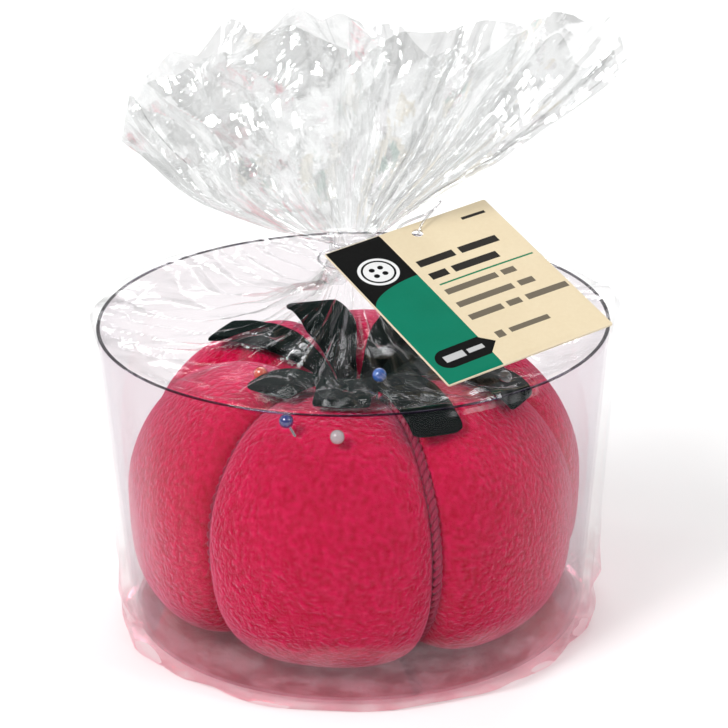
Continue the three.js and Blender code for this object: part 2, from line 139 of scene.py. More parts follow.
def joined(*solids):
    """Points and faces of several solids as one."""
    points, faces = [], []
    for more_points, more_faces in solids:
        faces += [[i + len(points) for i in face] for face in more_faces]
        points += more_points.tolist()
    return points, faces


def sweep(path, radius, sides):
    """A round tube along a path."""
    tangent = unit(np.gradient(path, axis=0))
    side = np.cross(tangent[0], (0.3, 0.5, 0.8))
    angles = all_round(sides)
    rings = []
    for point, along in zip(path, tangent):
        side = side - along * np.dot(side, along)
        side /= np.linalg.norm(side)
        other = np.cross(along, side)
        rings.append(point + radius * (np.cos(angles)[:, None] * side + np.sin(angles)[:, None] * other))
    return closed_grid(np.array(rings))


def polar(r, azimuth, z):
    """Azimuth 0 is the front (-Y) and grows towards +X, in degrees."""
    a = np.radians(azimuth)
    return np.stack(np.broadcast_arrays(r * np.sin(a), -r * np.cos(a), z), -1)


def spline(points, t):
    """A smooth curve through points; t runs from 0 to 1."""
    p = np.asarray(points, float)
    p = np.vstack([2 * p[0] - p[1], p, 2 * p[-1] - p[-2]])
    x = np.clip(np.asarray(t, float), 0, 1) * (len(p) - 3)
    i = np.minimum(x.astype(int), len(p) - 4)
    u = (x - i)[..., None]
    a, b, c, d = p[i], p[i + 1], p[i + 2], p[i + 3]
    square, cube = 2 * a - 5 * b + 4 * c - d, 3 * b - a - 3 * c + d
    return 0.5 * (2 * b + (c - a) * u + square * u ** 2 + cube * u ** 3)


def triangle_wave(x):
    """Rises and falls in straight lines between 0 and 1, once for each unit of x."""
    return np.abs(2 * (x - np.floor(x + 0.5)))


def facets(points, size, seed, layers=6):
    """Flat facets met by straight creases, as in crumpled film: triangle waves in random directions."""
    rng = np.random.default_rng(seed)
    total = np.zeros(points.shape[:-1])
    for _ in range(layers):
        direction = rng.normal(size=3)
        direction /= np.linalg.norm(direction)
        wave = points @ direction / (size * rng.uniform(0.7, 1.5)) + rng.uniform()
        total += triangle_wave(wave) - 0.5
    return total / math.sqrt(layers)


def drift(points, size, seed, layers=5):
    """A slow smooth wander: a sum of sine waves in random directions."""
    rng = np.random.default_rng(seed)
    total = np.zeros(points.shape[:-1])
    for _ in range(layers):
        direction = rng.normal(size=3)
        direction /= np.linalg.norm(direction)
        total += np.sin(2 * np.pi * (points @ direction / (size * rng.uniform(0.7, 1.5)) + rng.uniform()))
    return total / math.sqrt(layers)

# %% [markdown]
# ## Helpers for finishes
# A finish is a small network of nodes. Writing it as sums is easier to read than a list of links, so one
# class wraps a socket and gives it Python's operators, and one method adds any other node.

# %% Shader sums
def operator(operation):
    return lambda wire, other: wire.math(operation, other)


class Wire:
    """A shader socket that can be added, multiplied and compared in Python."""

    __add__ = __radd__ = operator("ADD")
    __sub__ = operator("SUBTRACT")
    __mul__ = __rmul__ = operator("MULTIPLY")
    __truediv__ = operator("DIVIDE")
    __pow__ = operator("POWER")
    __gt__ = operator("GREATER_THAN")
    __lt__ = operator("LESS_THAN")

    def __init__(self, finish, socket):
        self.finish = finish
        self.socket = socket

    def __rsub__(self, other):
        return self * -1 + other

    def math(self, operation, *others):
        sockets = dict(enumerate((self, *others)))
        return self.finish.node("ShaderNodeMath", {"operation": operation}, sockets)

    def clamp(self):
        return self.finish.node("ShaderNodeClamp", {}, {"Value": self})

    def dot(self, vector):
        return self.finish.node("ShaderNodeVectorMath", {"operation": "DOT_PRODUCT"}, {0: self, 1: vector},
                                out="Value")

    def scaled(self, vector):
        return self.finish.node("ShaderNodeVectorMath", {"operation": "MULTIPLY"}, {0: self, 1: vector})

# %% Finish
class Finish:
    """A material, or the sky. node() adds any node: its type, settings, and what goes into its sockets."""

    def __init__(self, name, owners=bpy.data.materials):
        self.made = owners.new(name)
        self.made.use_nodes = True
        self.tree = self.made.node_tree
        self.tree.nodes.clear()
        self.place = self.node("ShaderNodeTexCoord", {}, {}, out="Object")

    def node(self, kind, settings, sockets, out=0):
        added = self.tree.nodes.new(kind)
        for key, value in settings.items():
            setattr(added, key, value)
        for key, value in sockets.items():
            if isinstance(value, Wire):
                self.tree.links.new(value.socket, added.inputs[key])
            else:
                added.inputs[key].default_value = value
        return None if out is None else Wire(self, added.outputs[out])

    def grey_ramp(self, factor, stops):
        ramp = self.node("ShaderNodeValToRGB", {}, {0: factor})
        elements = ramp.socket.node.color_ramp.elements
        while len(elements) < len(stops):
            elements.new(0.5)
        for element, (position, grey) in zip(elements, stops):
            element.position = position
            element.color = (grey, grey, grey, 1)
        return ramp

    def noise(self, per_metre, detail=2.0, roughness=0.5, place=None):
        return self.node("ShaderNodeTexNoise", {"noise_dimensions": "3D"},
                         {"Vector": place or self.place, "Scale": per_metre, "Detail": detail,
                          "Roughness": roughness}, out="Fac")

    def mix(self, factor, first, second):
        return self.node("ShaderNodeMix", {"data_type": "RGBA"},
                         {0: factor, 6: rgba(first), 7: rgba(second)}, out=2)

    def bump(self, height, distance, strength=1.0):
        return self.node("ShaderNodeBump", {},
                         {"Height": height, "Distance": distance, "Strength": strength})

    def principled(self, **sockets):
        names = {key.replace("_", " ").title(): value for key, value in sockets.items()}
        names = {NAME_FIXES.get(key, key): value for key, value in names.items()}
        return self.node("ShaderNodeBsdfPrincipled", {}, names)

    def finished(self, surface, output="ShaderNodeOutputMaterial"):
        self.node(output, {}, {"Surface": surface}, out=None)
        return self.made


NAME_FIXES = {"Specular Ior Level": "Specular IOR Level", "Coat Ior": "Coat IOR"}


def rgba(colour):
    return (*colour, 1) if isinstance(colour, tuple) and len(colour) == 3 else colour

# %% [markdown]
# ## Velvet
# Velvet is a short dense pile that stands on its backing. Looked at straight it swallows light and shows
# its deepest colour, and at a slant the fibre ends catch light and it turns paler. Sheen does that. A
# stuffed velvet also shows a fine pebble, where tufts lean different ways, so the colour and the bump
# share a noise of about a millimetre, and a slower one makes brushed patches.

# %% Velvet finish
def velvet_finish():
    f = Finish("velvet")
    pebble = f.noise(700, 2, 0.55)
    tuft = f.noise(2000, 2, 0.6)
    brushed = f.noise(50)
    lean = (pebble * 0.8 + brushed * 0.2 - 0.3) * 2.5
    colour = f.mix(lean.clamp(), (0.52, 0.0005, 0.026), (0.92, 0.008, 0.110))
    height = pebble + tuft * 0.3
    return f.finished(f.principled(
        base_color=colour, roughness=0.95, specular_ior_level=0.05, sheen_weight=1.0,
        sheen_roughness=0.4, sheen_tint=(1.0, 0.36, 0.56, 1), normal=f.bump(height, 0.0012, 1.0),
    ))


VELVET = velvet_finish()

# %% [markdown]
# ## The cushion's shape
# The cover is six gores sewn edge to edge and stuffed tight, then cords pull the seams in, so each gore
# swells into a lobe. Two side views describe it: one along a lobe's ridge and one along a groove. A
# point between them slides from the groove's curve to the ridge's on a squarish arc, which makes the
# lobes meet in a sharp fold and stay full everywhere else. The seams are a little uneven, as hand-pulled
# cords leave them, so the front lobe is the widest. The size is taken from the solid gores.

# %% Ridge and groove
LOBES = 6
SEAMS = [-43, 21, 80, 140, 199, 259, 317]
gore_boxes = [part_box(f"velvet_gore_{i + 1}") for i in range(LOBES)]
cushion_floor = min(low.z for low, _ in gore_boxes)
cushion_top = max(high.z for _, high in gore_boxes)

DRAWN_RIDGE = [(5, 60), (15, 69.5), (29, 74.2), (44.5, 71.3), (56, 60.8), (62.4, 47), (63.4, 33),
               (61.3, 16.5), (52.5, 5.4), (37, 2.1), (20, 2.6), (5, 7)]
DRAWN_GROOVE = [(5, 57), (14, 62), (27, 66.5), (39.5, 63.6), (47.5, 56.5), (52.8, 47.5), (54.6, 36),
                (52, 25), (44.5, 14.5), (33.5, 8), (19, 6.4), (5, 9)]
DRAWN_FLOOR, DRAWN_TOP = 2.1, 74
drawn_to_real = (cushion_top - cushion_floor) / (DRAWN_TOP - DRAWN_FLOOR)


def real_profile(drawn):
    points = np.array(drawn, float)
    return np.stack([points[:, 0] * drawn_to_real,
                     cushion_floor + (points[:, 1] - DRAWN_FLOOR) * drawn_to_real], -1)


RIDGE = real_profile(DRAWN_RIDGE)
GROOVE = real_profile(DRAWN_GROOVE)


def inset(profile, t, distance):
    """The profile at t, moved towards the inside of the cushion."""
    step = 1e-3
    along = spline(profile, np.clip(t + step, 0, 1)) - spline(profile, np.clip(t - step, 0, 1))
    along = unit(along)
    inward = np.stack([along[..., 1], -along[..., 0]], -1)
    return spline(profile, t) + inward * np.asarray(distance)[..., None]


def fullness_at(side):
    """How full a lobe is across its width; side runs from -1 at one seam to 1 at the other."""
    return (1 - np.abs(side) ** 3) ** (1 / 3)


def cushion_profile(t, fullness, depth=0.0):
    ridge, groove = inset(RIDGE, t, depth), inset(GROOVE, t, depth)
    return groove + (ridge - groove) * np.asarray(fullness)[..., None]


print("cushion", round((cushion_top - cushion_floor) / MM, 1), "mm tall")

# %% [markdown]
# ## Sewing and stuffing the gores
# Each gore is made slack, a little inside its final size, as a closed pillow: the velvet outside and a
# backing behind it. The backing and the seams are pinned, and cloth simulation blows the velvet out
# with a steady pressure, as stuffing does. How far a point may move is capped, so that the lobe stays
# in its place between the tub and the cords.

# %% Puffing
GORE_COLUMNS, GORE_ROWS = 44, 60
GORE_THICK = 1.5 * MM
SLACK = 0.7 * MM
PUFF_CAP = 1.3 * MM


def gore_grid(lobe, depth):
    """The gore's skin at a depth. It is moved out a hair so that it clears both of its neighbours."""
    clear = 0.3 * MM
    share = np.sin(np.pi * (np.linspace(0, 1, GORE_COLUMNS + 1)[None, :] - 0.5))
    t = np.linspace(0, 1, GORE_ROWS + 1)[:, None]
    half = math.radians(SEAMS[lobe + 1] - SEAMS[lobe]) / 2
    t, fullness, side = np.broadcast_arrays(t, fullness_at(share), half * share)
    place = cushion_profile(t, fullness, depth)
    narrow = 1 - (depth / (place[..., 0] * math.sin(half))) * (1 - fullness)
    along = place[..., 0] * np.cos(side) + clear
    across = place[..., 0] * np.sin(side) * narrow
    turn_by = math.radians(SEAMS[lobe] + SEAMS[lobe + 1]) / 2
    return np.stack([along * math.sin(turn_by) + across * math.cos(turn_by),
                     -along * math.cos(turn_by) + across * math.sin(turn_by), place[..., 1]], -1), fullness


def slab(outer, inner):
    """Points and faces of a closed slab between two grids of one size."""
    rows, columns = outer.shape[:2]
    count = rows * columns
    faces = [face[::-1] for face in grid_faces(rows, columns)]
    faces += grid_faces(rows, columns, start=count)
    edge = list(range(columns)) + [i * columns + columns - 1 for i in range(1, rows)]
    edge += [(rows - 1) * columns + j for j in range(columns - 2, -1, -1)]
    edge += [i * columns for i in range(rows - 2, 0, -1)]
    for a, b in zip(edge, edge[1:] + edge[:1]):
        faces.append([a, b, b + count, a + count])
    return np.concatenate([outer.reshape(-1, 3), inner.reshape(-1, 3)]), faces


def puff(piece, free_share, cap, pressure=4.0, frames=20):
    """Blows a pinned pillow out by cloth simulation and keeps the result in its mesh."""
    start = np.array([v.co for v in piece.data.vertices])
    pins = piece.vertex_groups.new(name="pinned")
    for index, share in enumerate(free_share):
        pins.add([index], float(1 - share), "REPLACE")
    cloth = piece.modifiers.new("stuffing", "CLOTH")
    cloth.settings.quality = 5
    cloth.settings.mass = 0.2
    cloth.settings.tension_stiffness = cloth.settings.compression_stiffness = 20
    cloth.settings.bending_stiffness = 2
    cloth.settings.vertex_group_mass = "pinned"
    cloth.settings.use_pressure = True
    cloth.settings.uniform_pressure_force = pressure
    cloth.settings.effector_weights.gravity = 0
    cloth.collision_settings.use_collision = False
    for number in range(1, frames + 1):
        bpy.context.scene.frame_set(number)
    graph = bpy.context.evaluated_depsgraph_get()
    result = np.array([v.co for v in piece.evaluated_get(graph).data.vertices])
    bpy.context.scene.frame_set(1)
    piece.modifiers.remove(cloth)
    piece.vertex_groups.remove(pins)
    move = result - start
    length = np.linalg.norm(move, axis=1, keepdims=True)
    move *= np.minimum(1, cap / np.maximum(length, 1e-9))
    piece.data.vertices.foreach_set("co", (start + move * np.asarray(free_share)[:, None]).ravel())
    piece.data.update()
    return float(length.max()), float(np.linalg.norm(move, axis=1).max())

# %% Gores
def make_gore(lobe):
    outer, fullness = gore_grid(lobe, 0.0)
    inner, _ = gore_grid(lobe, GORE_THICK)
    slack = (outer - inner) * (SLACK / GORE_THICK) * np.clip(fullness * 1.6, 0, 1)[..., None]
    outer = outer - slack
    name = f"velvet_lobe_{lobe + 1}"
    points, faces = slab(outer, inner)
    gore = make_piece(name, points, faces, VELVET, "packed_cushion", [f"velvet_gore_{lobe + 1}"])
    ends = np.minimum(np.linspace(0, 1, GORE_ROWS + 1), np.linspace(1, 0, GORE_ROWS + 1))[:, None]
    free = np.clip(fullness * 2.2, 0, 1) * np.clip(ends * 9, 0, 1)
    free_share = np.concatenate([free.ravel(), np.zeros(free.size)])
    moved, kept = puff(gore, free_share, PUFF_CAP)
    print(name, "swelled", round(moved / MM, 2), "mm, kept", round(kept / MM, 2), "mm")
    soften(gore)
    return gore


gores = [make_gore(lobe) for lobe in range(LOBES)]

# %% [markdown]
# ## Stuffing and tie
# The stuffing and the thread through its middle are inside and can't be seen in the closed pack. They
# keep their solids. The stuffing gets the look of teased fibre and the thread that of cord, for anyone
# who takes the cushion apart.

# %% Hidden pieces
def fibre_finish():
    f = Finish("stuffing_fibre")
    strands = f.node("ShaderNodeTexWave", {"wave_type": "BANDS"},
                     {"Vector": f.place, "Scale": 160.0, "Distortion": 9.0, "Detail": 3.0}, out="Fac")
    clumps = f.noise(90, 3, 0.6)
    colour = f.mix(clumps, (0.42, 0.31, 0.17), (0.78, 0.68, 0.48))
    return f.finished(f.principled(base_color=colour, roughness=1.0, sheen_weight=0.3,
                                   normal=f.bump(strands * 0.6 + clumps, 0.0012, 0.8)))


def satin_finish(name, dark, bright):
    f = Finish(name)
    fine = f.noise(2600, 2, 0.5, f.place.scaled((1, 1, 0.35)))
    slow = f.noise(160)
    colour = f.mix((fine * 0.6 + slow * 0.4 - 0.25).clamp(), dark, bright)
    return f.finished(f.principled(base_color=colour, roughness=0.42, sheen_weight=0.5,
                                   sheen_tint=(1.0, 0.5, 0.7, 1), normal=f.bump(fine, 0.0002, 0.6)))


SATIN = satin_finish("satin_cord", (0.30, 0.001, 0.035), (0.62, 0.008, 0.11))
FIBRE = fibre_finish()
for node, finish in (("cushion_fill", FIBRE), ("centre_tie", SATIN)):
    frame["nodes"][node].data.materials.clear()
    frame["nodes"][node].data.materials.append(finish)

# %% [markdown]
# ## Groove cords
# The cord in each groove is two satin plies twisted together. A tube with stripes would look printed on,
# so each ply is its own tube, wound round the groove's line, and the two are joined into one piece. The
# cord to the right of the front lobe stands proud of its groove and the others are sunk in theirs.

# %% Twisted cords
CORD_LIFT = 3.1 * MM
PROUD, SUNK = 1.25, 0.45
CORD_START, CORD_END, CORD_POINTS = 0.07, 0.93, 120
CORD_R = 1.35 * MM
PLY_OFFSET, PLY_R, PLY_SIDES = 0.46, 0.54, 8
PLY_PITCH = 5.0 * MM
PLY_POINTS_PER_TURN = 11


def twisted(path, cord_r, pitch):
    """Two plies wound round a path."""
    length = np.concatenate([[0], np.cumsum(np.linalg.norm(np.diff(path, axis=0), axis=1))])
    count = int(length[-1] / pitch * PLY_POINTS_PER_TURN)
    along = np.linspace(0, length[-1], count)
    line = np.stack([np.interp(along, length, path[:, k]) for k in range(3)], -1)
    tangent = unit(np.gradient(line, axis=0))
    side = unit(np.cross(tangent, np.cross(line[0], line[-1])))
    other = np.cross(tangent, side)
    plies = []
    for start in (0, np.pi):
        phase = (2 * np.pi * along / pitch + start)[:, None]
        ply = line + cord_r * PLY_OFFSET * (np.cos(phase) * side + np.sin(phase) * other)
        plies.append(sweep(ply, cord_r * PLY_R, PLY_SIDES))
    return joined(*plies)


for lobe in range(LOBES):
    t = np.linspace(CORD_START, CORD_END, CORD_POINTS)
    rise = np.clip(np.minimum(t - 0.04, 0.96 - t) * 6, 0, 1)
    lift = CORD_LIFT * (PROUD if lobe == 0 else SUNK) * rise
    place = inset(GROOVE, t, -lift)
    route = polar(place[:, 0], SEAMS[lobe + 1], place[:, 1])
    points, faces = twisted(route, CORD_R, PLY_PITCH)
    make_piece(f"twisted_cord_{lobe + 1}", points, faces, SATIN, "packed_cushion",
               [f"groove_cord_{lobe + 1}"])

# %% [markdown]
# ## Felt leaves
# The crown is cut from thick dark felt in strips with square ends. Each strip lies over the lobes where
# they are highest across its width, and its end lifts and twists a little. The strip is a soft-edged
# ribbon: its section is a rounded box, and slow and fine noise keep it from looking stamped. Each leaf
# has an azimuth in degrees and a reach in millimetres.

# %% Felt finish
def felt_finish():
    f = Finish("felt")
    fuzz = f.noise(1400, 4, 0.65)
    patch = f.noise(120)
    tone = (fuzz * 0.7 + patch * 0.3 - 0.2).clamp()
    colour = f.mix(tone, (0.0003, 0.0008, 0.0008), (0.002, 0.0055, 0.005))
    return f.finished(f.principled(base_color=colour, roughness=0.95, specular_ior_level=0.02,
                                   sheen_weight=0.05, sheen_roughness=0.5, sheen_tint=(0.45, 0.8, 0.75, 1),
                                   normal=f.bump(fuzz, 0.0007, 0.9)))


FELT = felt_finish()

# %% Leaves
LEAVES = [(-115, 41), (-38, 37), (-5, 39), (26, 49), (63, 50), (104, 42), (146, 40), (-163, 41)]
LEAF_WIDTH = 15 * MM
LEAF_THICK = 2.2 * MM
LEAF_ROOT = 6 * MM
LEAF_GAP = LEAF_LIFT = 0.5 * MM
LEAF_ROWS, LEAF_SIDES = 36, 20


def cushion_height(x, y):
    """Height of the top of the cushion over points."""
    r = np.hypot(x, y)
    azimuth = np.degrees(np.arctan2(x, -y))
    turned_on = (azimuth - SEAMS[0]) % 360 + SEAMS[0]
    lobe = np.clip(np.searchsorted(SEAMS, turned_on, side="right") - 1, 0, LOBES - 1)
    low_seam, high_seam = np.array(SEAMS)[lobe], np.array(SEAMS)[lobe + 1]
    fullness = fullness_at(np.clip(2 * (turned_on - low_seam) / (high_seam - low_seam) - 1, -1, 1))
    low, high = np.zeros_like(r), np.full_like(r, 0.5)
    for _ in range(18):
        middle = (low + high) / 2
        near = cushion_profile(middle, fullness)[..., 0] < r
        low, high = np.where(near, middle, low), np.where(near, high, middle)
    return cushion_profile(low, fullness)[..., 1]


def leaf_points(number, azimuth, reach):
    rng = np.random.default_rng(40 + number)
    r = np.linspace(LEAF_ROOT, reach * MM, LEAF_ROWS)
    half = np.minimum(LEAF_WIDTH, 0.7 * r + 0.6 * MM) / 2
    turn_by = math.radians(azimuth)
    outward = np.array([math.sin(turn_by), -math.cos(turn_by)])
    sideways = np.array([math.cos(turn_by), math.sin(turn_by)])
    across = np.linspace(-1, 1, 9)
    spots = r[:, None, None] * outward + (half[:, None] * across)[..., None] * sideways
    ground = cushion_height(spots[..., 0], spots[..., 1]).max(axis=1)
    window = np.stack([np.roll(ground, k) for k in (-1, 0, 1)]).max(axis=0)
    window[0], window[-1] = ground[0], ground[-1]
    base = window + LEAF_GAP + LEAF_THICK / 2
    share = (r - r[0]) / (r[-1] - r[0])
    base = base + LEAF_LIFT * np.clip(share * 1.6 - 0.6, 0, 1) * rng.uniform(0.4, 1.2)
    box = rounded_box(LEAF_SIDES, 0.35, 0.6)
    ends = np.clip(np.minimum(share * 30, (1 - share) * 30 + 0.55), 0.35, 1)
    wide = half[:, None] * box[None, :, 0]
    tall = (LEAF_THICK / 2) * box[None, :, 1] * ends[:, None]
    twist = math.radians(rng.uniform(-4, 4)) * share[:, None]
    xy = r[:, None, None] * outward + wide[..., None] * sideways
    z = base[:, None] + tall + np.abs(wide) * 0.02 + wide * np.sin(twist)
    points = np.concatenate([xy, z[..., None]], -1)
    ragged = drift(points, 6 * MM, 70 + number) * 0.16 * MM
    ragged = ragged + drift(points, 2.2 * MM, 90 + number) * 0.07 * MM
    points[..., :2] += ragged[..., None] * sideways
    points[..., 2] += ragged
    return points


for number, (azimuth, reach) in enumerate(LEAVES):
    points, faces = closed_grid(leaf_points(number, azimuth, reach))
    leaf = make_piece(f"felt_leaf_{number + 1}", points, faces, FELT, "packed_cushion",
                      [f"crown_leaf_{number + 1}"])
    soften(leaf)

# %% [markdown]
# ## Ball-headed pins
# Each pin is a steel wire with a moulded bead. The bead is a ball with a short neck where the plastic
# ran down the wire, turned as one profile. Its axis is the one that the pin slides along.

# %% Pin finishes
def bead_finish(name, colour, glow):
    f = Finish(name)
    swirl = f.noise(500)
    tint = f.mix(swirl, colour, glow)
    return f.finished(f.principled(base_color=tint, roughness=0.16, specular_ior_level=0.8,
                                   coat_weight=1.0, coat_roughness=0.05, coat_ior=1.8))


def steel_finish():
    f = Finish("pin_steel")
    drawn = f.noise(900, 2, 0.5, f.place.scaled((4, 4, 0.2)))
    colour = f.mix(drawn, (0.55, 0.56, 0.58), (0.8, 0.81, 0.83))
    return f.finished(f.principled(base_color=colour, metallic=1.0, roughness=drawn * 0.15 + 0.14))


STEEL = steel_finish()

# %% Pins
BEADS = {
    "blue": ((0.001, 0.008, 0.11), (0.004, 0.025, 0.26)),
    "pearl": ((0.36, 0.30, 0.31), (0.62, 0.55, 0.55)),
    "orange": ((0.5, 0.02, 0.001), (0.85, 0.08, 0.004)),
    "sky": ((0.004, 0.07, 0.4), (0.015, 0.2, 0.75)),
    "black": ((0.004, 0.004, 0.005), (0.02, 0.02, 0.022)),
}
JOINTS = {joint["name"]: joint for joint in frame["joints"]}
WIRE_R = 0.3 * MM


def turned(profile, origin, axis, sides=28):
    """Points and faces of a profile (radius, distance along the axis) turned round an axis."""
    axis = np.array(axis, float) / np.linalg.norm(axis)
    side = np.cross(axis, (0, 1, 0.2))
    side /= np.linalg.norm(side)
    other = np.cross(axis, side)
    angles = all_round(sides)
    ring = np.cos(angles)[:, None] * side + np.sin(angles)[:, None] * other
    grid = np.array([np.asarray(origin) + along * axis + r * ring for r, along in profile])
    return closed_grid(grid)


for name, (dark, bright) in BEADS.items():
    axis = Vector(JOINTS[f"{name}_pin_slide"]["axis"])
    low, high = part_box(f"{name}_pin_head")
    centre, ball = (low + high) / 2, (high.x - low.x) / 2
    shaft = np.array([v.co for v in frame["nodes"][f"{name}_pin_shaft"].data.vertices])
    tip = float((shaft @ np.array(axis)).min() - np.array(centre) @ np.array(axis))
    arc = np.linspace(0.04, math.pi - 0.42, 16)
    profile = [(ball * math.sin(a), ball * math.cos(a)) for a in arc]
    profile += [(ball * 0.3, -ball), (ball * 0.22, -ball * 1.12), (WIRE_R * 1.05, -ball * 1.2)]
    bead = bead_finish(f"{name}_bead", dark, bright)
    points, faces = turned(profile[::-1], centre, axis)
    make_piece(f"{name}_bead", points, faces, bead, f"{name}_pin", [f"{name}_pin_head"])
    wire_profile = [(WIRE_R * 0.05, tip), (WIRE_R * 0.6, tip + 1.2 * MM), (WIRE_R, tip + 3 * MM),
                    (WIRE_R, -ball * 1.21)]
    points, faces = turned(wire_profile, centre, axis, 16)
    make_piece(f"{name}_wire", points, faces, STEEL, f"{name}_pin", [f"{name}_pin_shaft"])

# %% [markdown]
# ## Clear plastic
# Clear plastic is nearly all window: light goes straight through, and a share bounces off that grows at
# a slant. The finish mixes a see-through shader with a mirror by that share, with a trace of haze, as
# moulded polystyrene has. Scratches and flow marks vary the haze.

# %% Clear finish
def clear_finish(name, tint, haze, power, rough, streak_scale, gain, zones=None):
    """zones(finish, streaks, body colour) may give extra share for some parts, and their body colour."""
    f = Finish(name)
    slant = f.node("ShaderNodeLayerWeight", {}, {"Blend": 0.5}, out="Facing")
    streaks = f.noise(streak_scale, 3, 0.55)
    share = (slant ** power) * gain + haze * (streaks + 0.5)
    body_colour = f.mix(streaks, (0.86, 0.85, 0.88), (0.97, 0.97, 0.98))
    if zones is not None:
        extra, body_colour = zones(f, streaks, body_colour)
        share = share + extra
    body = f.principled(base_color=body_colour, metallic=1.0, roughness=streaks * rough + rough * 0.5)
    window = f.node("ShaderNodeBsdfTransparent", {}, {"Color": rgba(tint)})
    return f.finished(f.node("ShaderNodeMixShader", {}, {0: share.clamp(), 1: window, 2: body}))

# %% [markdown]
# ## The tub
# The tub is one moulding with a thin wall, a rounded foot and a small bead at the rim. It is turned from
# a closed profile. The finish is denser at the rim, which is painted near black as the shade seen in the
# bead, and at the foot, which is tinted crimson as a painted reflection of the cushion above it.

# %% Tub
tub_low, tub_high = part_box("clear_tub")
RIM_Z, FOOT_Z = tub_high.z, tub_low.z
RIM_R = tub_high.x
TUB_TAPER = 6.6 * MM
TUB_WALL = 0.8 * MM
TUB_SIDES = 180
TUB_CORNER = 3 * MM
BEAD_R = 0.55 * MM
AXIS_GAP = 0.2 * MM


def tub_radius(z):
    return RIM_R - TUB_TAPER * (RIM_Z - z) / (RIM_Z - FOOT_Z)


def tub_zones(f, _, body_colour):
    height = f.place.dot((0, 0, 1))
    # The rim's dark line is painted shade: a near-black body colour stands in for the shade seen in the
    # bead.
    painted_rim_shade = height > RIM_Z - 0.4 * MM
    foot = height < FOOT_Z + 1.0 * MM
    # The crimson at the foot is a painted reflection of the cushion above it.
    colour = f.mix(foot, body_colour, (1.0, 0.28, 0.42))
    return painted_rim_shade * 0.85 + foot * 0.4, f.mix(painted_rim_shade, colour, (0.02, 0.012, 0.03))


def tub_profile():
    foot_r = tub_radius(FOOT_Z)
    bend_r, bend_z = foot_r - TUB_CORNER, FOOT_Z + TUB_CORNER
    out = [(AXIS_GAP, FOOT_Z)]
    for a in np.radians(np.linspace(0, 85, 9)):
        out.append((bend_r + TUB_CORNER * math.sin(a), bend_z - TUB_CORNER * math.cos(a)))
    out += [(tub_radius(z), z) for z in np.linspace(FOOT_Z + 5 * MM, RIM_Z - 1.2 * MM, 14)]
    for a in np.radians(np.linspace(-50, 200, 12)):
        out.append((RIM_R - BEAD_R + BEAD_R * math.cos(a), RIM_Z - BEAD_R + BEAD_R * math.sin(a)))
    inner = [(tub_radius(z) - TUB_WALL, z) for z in np.linspace(RIM_Z - 1.4 * MM, FOOT_Z + 5 * MM, 14)]
    for a in np.radians(np.linspace(85, 0, 9)):
        r = TUB_CORNER - TUB_WALL
        inner.append((bend_r + r * math.sin(a), bend_z - r * math.cos(a)))
    return out + inner + [(AXIS_GAP, FOOT_Z + TUB_WALL)]


TUB = clear_finish("clear_plastic", (0.935, 0.912, 0.926), 0.003, 5.0, 0.06, 60, 0.55, tub_zones)
points, faces = turned(tub_profile(), (0, 0, 0), (0, 0, 1), TUB_SIDES)
make_piece("tub", points, faces, TUB, "packed_cushion", ["clear_tub"])

# %% [markdown]
# ## The film bag
# Thin crisp film keeps flat facets with straight creases between them, and where it is gathered the
# creases all run to the neck. The bag is one sheet, built as rings from the middle of the floor up the
# wall, over the shoulder, through the neck and out along the ruffle. Each zone adds its own folds: near
# the tub hardly any beyond a flap at each side, on the shoulder long pleats that fade towards the rim,
# and in the ruffle deep ones, all broken up by facets. The table gives a radius and a height in
# millimetres, and how much of the way back to the neck's centre the ring has moved.

# %% Bag rings
BAG_COLUMNS = 420
NECK_Y = 8 * MM
NECK_R = 6.5 * MM
NECK_TOP = 104 * MM
azimuth = np.linspace(-180, 180, BAG_COLUMNS, endpoint=False)
az = np.radians(azimuth)

BODY = [(0.5, 0.1, 0), (30, 0.1, 0), (61.5, 0.1, 0), (63.5, 1.9, 0), (65.3, 20, 0), (67.3, 48, 0),
        (69.5, 78, 0), (70.0, 85, 0), (69.3, 86.0, 0), (66, 85.7, 0.02), (54, 85.0, 0.1), (40, 84.8, 0.3),
        (26, 86.4, 0.6), (15, 89.8, 0.9), (9.4, 95, 1), (6.5, 100, 1), (6.5, 104, 1)]
BODY_ROWS = 260
body_line = np.array(BODY)
steps = np.concatenate([[0], np.cumsum(np.hypot(*np.diff(body_line[:, :2], axis=0).T))])
body_along = np.linspace(0, steps[-1], BODY_ROWS)
body_r, body_z, body_shift = (np.interp(body_along, steps, body_line[:, k]) for k in range(3))


def body_rings():
    rings = polar(body_r[:, None] * MM, azimuth[None, :], body_z[:, None] * MM)
    rings[..., 1] += body_shift[:, None] * NECK_Y
    return rings

# %% Bag folds
FLAPS = ((96, 8, 2.9), (-93, 5, 1.2))
PLEATS, BROAD_PLEATS, NECK_PLEATS = 31, 13, 22


def outward_of(rings):
    across = np.roll(rings, -1, axis=1) - np.roll(rings, 1, axis=1)
    along = np.gradient(rings, axis=0)
    return unit(np.cross(across, along))


def between(x, low, high):
    """0 below low, 1 above high, straight in between."""
    return np.clip((x - low) / (high - low), 0, 1)


def pin_room(rings):
    """0 where a bead comes up under the film when its pin is drawn out, 1 away from there."""
    room = np.ones(rings.shape[:-1])
    for name in BEADS:
        low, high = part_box(f"{name}_pin_head")
        joint = JOINTS[f"{name}_pin_slide"]
        place = (low + high) / 2 + Vector(joint["axis"]) * joint["range_m"][1]
        away = np.hypot(rings[..., 0] - place.x, rings[..., 1] - place.y)
        room = np.minimum(room, between(away, 4 * MM, 9 * MM))
    return room


